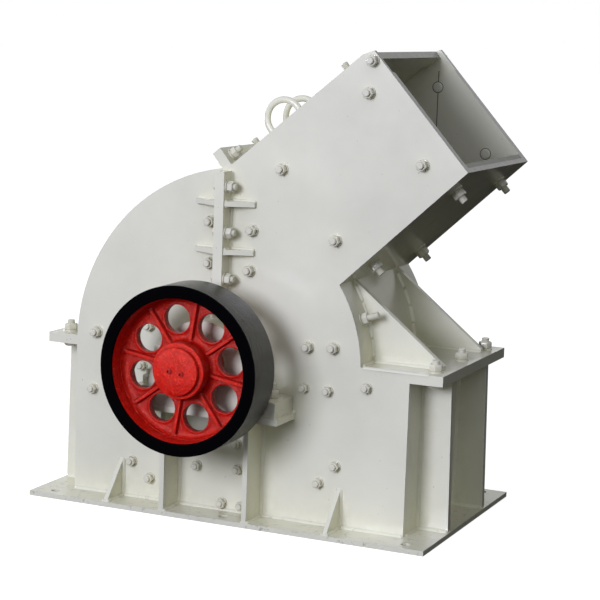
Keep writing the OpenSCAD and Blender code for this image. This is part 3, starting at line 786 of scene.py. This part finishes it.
def liner_gap_shades():
    """Dark rings round the liner bolts and a dark strip on the upright joint between the side
    liners: painted shade of the open gaps.
    """
    parts = []
    inside, outside = LINER_HEAD_R, LINER_HEAD_R + 1.5
    outline = np.array([[inside, -0.3], [outside, -0.3], [outside, 0.25], [inside, 0.25]])
    for x, z in LINER_HEADS:
        parts.append(placed(ring_solid(outline, 32), [x, LINER_FACE, z], -Y))
    reach = LINER_JOINT_X - KNEE[0]
    foot = KNEE[2] + reach * math.tan(FLOOR_SLOPE) + 2 * LINER_T / math.cos(FLOOR_SLOPE)
    parts.append(brick([LINER_JOINT_X - 0.9, LINER_FACE - 0.25, foot],
                       [LINER_JOINT_X + 0.9, LINER_FACE + 0.3, LINER_TOP]))
    return both_sides(parts)


# Welds


def arc_weld(radius, start, end, y, side):
    """Beads along an arc about the shaft, between its plate and a plate square to Y."""
    parts = []
    steps = max(3, int(abs(end - start) / math.radians(6)))
    angles = np.linspace(start, end, steps + 1)
    for a, b in zip(angles[:-1], angles[1:]):
        out, _ = along((a + b) / 2)
        ends = [SHAFT + radius * along(q)[0] + y * Y for q in (a, b)]
        parts.append(weld(*ends, out, side * Y))
    return parts


def housing_welds():
    """Beads of both end walls and of the end ribs."""
    parts = []
    for side in (-1, 1):
        wall = side * HALF_H
        out = side * X
        parts.append(weld([wall, -INNER_Y, BASE_T], [wall, INNER_Y, BASE_T], out, Z))
        for y in (-END_RIB_Y, END_RIB_Y):
            for face in (-1, 1):
                at = y + face * STIFFENER_HALF
                parts.append(weld([wall, at, BASE_T], [wall, at, LOWER_TOP], out, face * Y))
                foot_end, top_end = side * (HALF_L - 3), side * (HALF_L - 10)
                parts.append(weld([wall, at, BASE_T], [foot_end, at, BASE_T], face * Y, Z))
                parts.append(weld([wall, at, LOWER_TOP], [top_end, at, LOWER_TOP], face * Y, -Z))
    return parts


def apron_welds():
    """Beads of the lower side plates, the bearing seats, and the ribs on the base."""
    parts = []
    face = -SIDE_Y
    rib_out = face - 80
    parts.append(weld([-HALF_H, face, BASE_T], [HALF_H, face, BASE_T], -Y, Z))
    seat = [low("bearing_seat_front")[0], high("bearing_seat_front")[0]]
    under = low("bearing_seat_front")[2]
    parts.append(weld([seat[0], face, SEAT_TOP], [seat[1], face, SEAT_TOP], -Y, Z, 5))
    parts.append(weld([seat[0], face, under], [seat[1], face, under], -Y, -Z, 6))
    gusset_top = BASE_T + 94
    ribs = ((-303.5, 5, gusset_top), (SHAFT[0] - 109, 6, under),
            (SHAFT[0] + 109, 6, under), (272, 5, gusset_top))
    for x, half, top in ribs:
        for side in (-1, 1):
            at = x + side * half
            parts.append(weld([at, face, BASE_T], [at, face, top], -Y, side * X))
            parts.append(weld([at, face, BASE_T], [at, rib_out, BASE_T], side * X, Z))
            if top == under:
                parts.append(weld([at, face, under], [at, rib_out, under], side * X, -Z))
    return both_sides(parts)


def split_flange_welds():
    """Beads of the upright split flanges and of their two pairs of ribs."""
    parts = []
    foot = low("chute_flange_front")[2]
    top = high("chute_flange_front")[2]
    rib_t, rib_run, rib_out = 12, 64, -SIDE_Y - 37
    for side in (-1, 1):
        x = SPLIT_X + side * FLANGE_T
        parts.append(weld([x, -SIDE_Y, foot], [x, -SIDE_Y, top], -Y, side * X, 5))
        for drop in (87, 200):
            rib_foot = SPLIT_Z + ROOF_RISE - drop
            for z, up in ((rib_foot, -1), (rib_foot + rib_t, 1)):
                end = x + side * rib_run
                parts.append(weld([x, -SIDE_Y, z], [end, -SIDE_Y, z], -Y, up * Z, 4.5))
                parts.append(weld([x, -SIDE_Y, z], [x, rib_out, z], side * X, up * Z, 4.5))
    return both_sides(parts)


def cover_welds():
    """Beads of the split flanges, the roof, the left wall, the breast wall and its gussets."""
    parts = split_flange_welds()
    roof = ROOF_FOOT - ROOF_DROP * ROOF_UP
    roof_run = 412
    for side in (-1, 1):
        start = roof + FLANGE_T * ROOF_DIR + side * INNER_Y * Y
        parts.append(weld(start, start + roof_run * ROOF_DIR, -side * Y, ROOF_UP, 5))
    start = roof + FLANGE_T * ROOF_DIR
    parts.append(weld(start - INNER_Y * Y, start + INNER_Y * Y, ROOF_DIR, ROOF_UP, 6))
    parts.append(weld([-HALF_H, -INNER_Y, UPPER_FOOT], [-HALF_H, INNER_Y, UPPER_FOOT], -X, Z, 6))
    foot_angle = math.asin(FLANGE_T / BREAST_R)
    out, _ = along(foot_angle)
    at = SHAFT + BREAST_R * out
    parts.append(weld(at - INNER_Y * Y, at + INNER_Y * Y, X, Z, 6))
    edge = [low("upper_flange_right")[1] + 2.5, UPPER_FOOT - 2.5]
    parts.append(weld([at[0] + 4, *edge], [HALF_L - 32, *edge], -Y, Z, 5.5, 9))
    knee_angle = math.atan2(*(KNEE - SHAFT)[[2, 0]])
    for y in (-GUSSET_Y, GUSSET_Y):
        for face in (-1, 1):
            at = y + face * STIFFENER_HALF
            parts += arc_weld(BREAST_R, foot_angle + 0.03, knee_angle - 0.03, at, face)
            x0, x1 = SHAFT[0] + BREAST_R, HALF_L - 29
            parts.append(weld([x0, at, UPPER_FOOT], [x1, at, UPPER_FOOT], face * Y, Z))
    ring_foot = roof + 120 * ROOF_DIR
    bead = 20 * ROOF_DIR
    for y in (-RING_Y, RING_Y):
        for face in (-1, 1):
            at = ring_foot + (y + face * 5) * Y
            parts.append(weld(at - bead, at + bead, face * Y, ROOF_UP, 7))
    return parts


# Making it

# Each enamel: paint colour, the colour and amount of its painted corner shade, and whether its
# edges are chipped and its edges at the feed mouth get painted shade
cream = enamel_over_plate("alkyd_enamel_sprayed_on_hot_rolled_plate", "#e7e5c9", "#8e8865", 0.35)
cream_bead = enamel_over_plate("alkyd_enamel_over_weld_bead", "#e9e7cc", "#8e8865", 0.35, False)
cream_bolt = enamel_over_plate("alkyd_enamel_over_bolts", "#e2dfc4", "#6f6a52", 0.7, False)
cream_worn = enamel_over_plate("dusty_and_shaded_enamel_on_wear_plate", "#e3e0c5", "#77714f", 0.6)
casting = enamel_on_casting()
forged = steel("forged_manganese_steel_with_rust", "#55504a", "#5a3a24", 0.6, 0.85, 0.5)
turned_steel = steel("turned_shaft_steel_with_oil_film", "#8f8f90", "#5d4a38", 0.25)
wear_plate = steel("bare_wear_plate_with_dust", "#8f8f88", "#6a5c4a", 0.35, 0.3, 0.5)
# A dark material for the painted shade in the liners' open gaps
gap_shade = steel("painted_shade_in_open_joint", "#2a2925", "#201a14", 0.3, 0.0, 0.8)

SLOT_MATERIALS = {
    "housing_paint": cream,
    "bearing_paint": cream_bolt,
    "liner_paint": cream_worn,
    "liner_steel": wear_plate,
    "rotor_steel": forged,
    "shaft_steel": turned_steel,
    "wheel_paint": casting,
}
slots = {s["node"]: s["material_slot"] for s in frame["record"]["subparts"]}
for node_name, node_object in frame["nodes"].items():
    node_object.data.materials.clear()
    node_object.data.materials.append(SLOT_MATERIALS[slots[node_name]])

# The flywheel's rim is plain; the sheave's has four V grooves
GROOVES = 4
GROOVE_DEPTH, GROOVE_TOP, GROOVE_FLOOR = 15, 8.5, 4.25
groove_pitch = (WHEEL_Y - WHEEL_BACK) / GROOVES
floor_r = WHEEL_R - GROOVE_DEPTH
grooves = []
for k in range(GROOVES):
    middle = WHEEL_BACK + (k + 0.5) * groove_pitch
    grooves += [[WHEEL_R, middle - GROOVE_TOP], [floor_r, middle - GROOVE_FLOOR],
                [floor_r, middle + GROOVE_FLOOR], [WHEEL_R, middle + GROOVE_TOP]]
rim_back, rim_front = [WHEEL_R, WHEEL_BACK], [WHEEL_R, WHEEL_Y]
fly = new_piece("flywheel_casting", wheel_side(cast_wheel([rim_back, rim_front]), -1),
                "rotor", casting)
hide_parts("flywheel")
sheave = new_piece("sheave_casting", wheel_side(cast_wheel([rim_back, *grooves, rim_front]), 1),
                   "rotor", casting)
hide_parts("belt_sheave")
cap_parts = [end_cap()]
for across, up in ((14.9, 0.2), (-15.2, -3.3)):
    cap_parts.append(socket_screw([up, across, CAP_OUT]))
caps = new_piece("end_caps_turned", wheel_side(cap_parts, -1) + wheel_side(cap_parts, 1),
                 "rotor", casting)
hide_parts("hub_end_caps")

for name, parts in (
    ("plate_bolt_ends", plate_bolts()),
    ("side_flange_bolt_set", side_flange_bolts()),
    ("top_flange_bolt_set", top_flange_bolts()),
    ("level_flange_bolt_set", level_flange_bolts()),
    ("chute_bolt_set", chute_bolts()),
    ("bearing_bolt_set", bearing_bolts()),
):
    new_piece(name, parts, "frame", cream_bolt, 30)
new_piece("liner_bolt_heads", liner_bolt_heads(), "frame", cream_worn, 30)
# Painted shade of the open gaps round the liner bolts and in the liner joint
new_piece("liner_gap_shade_strips", liner_gap_shades(), "frame", gap_shade, 30)
for name, parts in (
    ("housing_weld_beads", housing_welds()),
    ("apron_weld_beads", apron_welds()),
    ("cover_weld_beads", cover_welds()),
):
    new_piece(name, parts, "frame", cream_bead, 60)


# Stage, light and camera


def any_ray(tree, path, *kinds):
    """1 for a ray of any of the kinds, which are outputs of the light path node."""
    seen = path.outputs[kinds[0]]
    for kind in kinds[1:]:
        seen = math_node(tree, "MAXIMUM", seen, path.outputs[kind])
    return seen


def pose_matrix(side, up, axis, place):
    """World matrix of an object with these axes at a place."""
    return Matrix(np.vstack([np.column_stack([side, up, axis, place]), [0, 0, 0, 1]]).tolist())


def floor_and_world():
    """White floor and air for the camera, and the gradient of light that they give.

    Reflections see white air but a dark floor. Diffuse rays find air that is bright before
    the flywheel, dim above the machine and dark behind it, and a floor that gives little
    back. The floor that the camera sees is lifted to white, with a faint shadow.
    """
    half = 40.0
    corners = [(-half, -half, 0), (half, -half, 0), (half, half, 0), (-half, half, 0)]
    mesh = bpy.data.meshes.new("floor")
    mesh.from_pydata(corners, [], [(0, 1, 2, 3)])
    floor = bpy.data.objects.new("floor", mesh)
    bpy.context.scene.collection.objects.link(floor)
    mat = bpy.data.materials.new("pale_studio_floor")
    mat.use_nodes = True
    tree = mat.node_tree
    tree.nodes.clear()
    path = add_node(tree, "ShaderNodeLightPath")
    seen = any_ray(tree, path, "Is Camera Ray", "Is Transmission Ray")
    bounce = add_node(tree, "ShaderNodeBsdfDiffuse", Color=(0.052, 0.049, 0.041, 1)).outputs[0]
    shaded = add_node(tree, "ShaderNodeBsdfDiffuse", Color=(0.5, 0.5, 0.5, 1)).outputs[0]
    white = add_node(tree, "ShaderNodeEmission", Strength=0.93).outputs[0]
    shown = add_node(tree, "ShaderNodeAddShader", {0: shaded, 1: white}).outputs[0]
    both = add_node(tree, "ShaderNodeMixShader", {0: seen, 1: bounce, 2: shown})
    add_node(tree, "ShaderNodeOutputMaterial", {"Surface": both.outputs[0]})
    mesh.materials.append(mat)

    world = bpy.data.worlds.new("studio")
    bpy.context.scene.world = world
    world.use_nodes = True
    tree = world.node_tree
    tree.nodes.clear()
    path = add_node(tree, "ShaderNodeLightPath")
    toward = add_node(tree, "ShaderNodeTexCoord").outputs["Generated"]
    lean = dot_product(tree, toward, (0.08, -0.86, 0.50))
    seen = any_ray(tree, path, "Is Camera Ray", "Is Transmission Ray", "Is Glossy Ray")
    fill = ramp(tree, math_node(tree, "ADD", math_node(tree, "MULTIPLY", lean, 0.5), 0.5), [
        (0.25, (0.022, 0.022, 0.018, 1)),
        (0.56, (0.066, 0.066, 0.06, 1)),
        (0.76, (0.225, 0.228, 0.245, 1)),
        (0.96, (0.62, 0.65, 0.80, 1)),
    ])
    colour = mix(tree, seen, fill, (1, 1, 1, 1))
    air = add_node(tree, "ShaderNodeBackground", {"Color": colour}, Strength=1.0)
    add_node(tree, "ShaderNodeOutputWorld", {"Surface": air.outputs[0]})


def soft_box(name, place, size, power, colour):
    """A disk of light, in metres and watts, turned towards the middle of the machine."""
    target = (0, 0, 0.5)
    data = bpy.data.lights.new(name, "AREA")
    data.shape = "DISK"
    data.size = size
    data.energy = power
    data.color = colour
    lamp = bpy.data.objects.new(name, data)
    bpy.context.scene.collection.objects.link(lamp)
    lamp.matrix_world = pose_matrix(*frame_of(np.array(place, float) - target), place)


def camera():
    """The photograph's view, solved from the machine's straight edges."""
    azimuth, elevation, roll = map(math.radians, (23.528, 8.573, 2.020))
    focal_px, frame_px = 1858.69, 600
    centre_px = (306.34, 294.77)
    place = np.array([1.865435, -4.112288, 1.190954])
    back = np.array([math.sin(azimuth) * math.cos(elevation),
                     -math.cos(azimuth) * math.cos(elevation), math.sin(elevation)])
    level = np.array([math.cos(azimuth), math.sin(azimuth), 0])
    upright = np.cross(back, level)
    right = math.cos(roll) * level + math.sin(roll) * upright
    up = -math.sin(roll) * level + math.cos(roll) * upright
    data = bpy.data.cameras.new("camera")
    data.sensor_width = 36
    data.lens = data.sensor_width * focal_px / frame_px
    data.shift_x = 0.5 - centre_px[0] / frame_px
    data.shift_y = centre_px[1] / frame_px - 0.5
    data.clip_end = 200
    view = bpy.data.objects.new("camera", data)
    bpy.context.scene.collection.objects.link(view)
    view.matrix_world = pose_matrix(right, up, back, place)
    bpy.context.scene.camera = view


floor_and_world()
soft_box("key", (-0.8, -6.1, 2.2), 2.4, 299, (0.735, 0.75, 1.0))
soft_box("rear", (-5.0, 2.8, 1.1), 2.8, 150, (0.90, 0.91, 1.0))
camera()
bpy.context.scene.view_settings.view_transform = "Standard"
